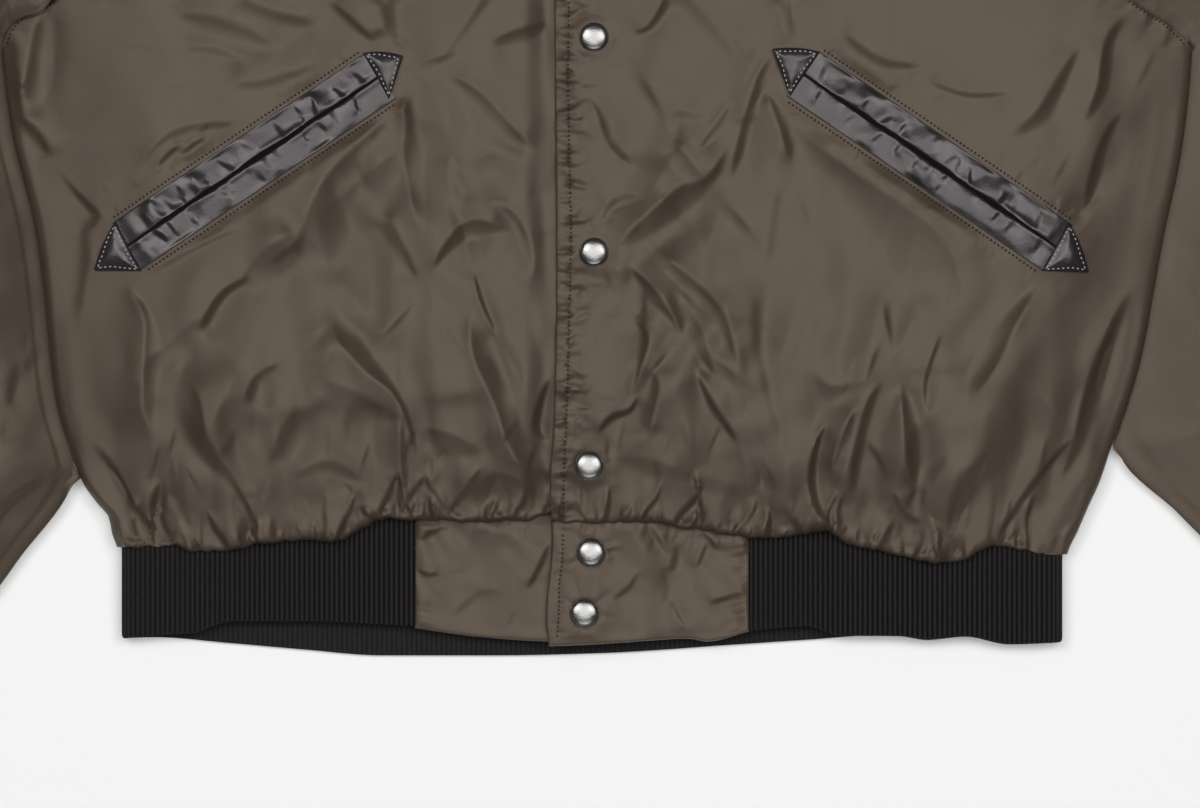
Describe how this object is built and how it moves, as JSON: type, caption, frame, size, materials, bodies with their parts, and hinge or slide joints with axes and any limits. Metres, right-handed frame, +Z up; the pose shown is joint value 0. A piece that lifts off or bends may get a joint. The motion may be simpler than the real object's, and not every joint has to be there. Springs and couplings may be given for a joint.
{
  "type": "baseball jacket",
  "caption": "Padded nylon baseball jacket with rib hem, cuffs and collar, slanted leather-welt pockets and a snap front, shut and laid flat on its back.",
  "frame": {"origin": "centre of the whole jacket's bounding box, on the surface it lies on", "axes": "+X across the jacket towards the wearer's left, +Y up the jacket towards the collar, +Z up out of the front"},
  "size_m": [0.9721, 0.751, 0.0394],
  "materials": {
    "nylon": "taupe nylon with a soft satin sheen, lightly padded",
    "rib": "black rib knit",
    "leather": "glossy black leather, softly crumpled",
    "nickel": "polished nickel"
  },
  "bodies": {
    "root": {"back": "nylon", "front_right": "nylon", "front_left": "nylon", "sleeve_right": "nylon", "sleeve_left": "nylon", "hem_tab_right": "nylon", "hem_tab_left": "nylon", "cuff_right": "rib", "cuff_left": "rib", "hem_rib": "rib", "collar": "rib", "pocket_right_upper_welt": "leather", "pocket_right_lower_welt": "leather", "pocket_right_outer_arrow": "leather", "pocket_right_inner_arrow": "leather", "pocket_left_upper_welt": "leather", "pocket_left_lower_welt": "leather", "pocket_left_outer_arrow": "leather", "pocket_left_inner_arrow": "leather", "snap_1": "nickel", "snap_2": "nickel", "snap_3": "nickel", "snap_4": "nickel", "snap_5": "nickel", "snap_6": "nickel", "snap_7": "nickel"}
  },
  "joints": []
}
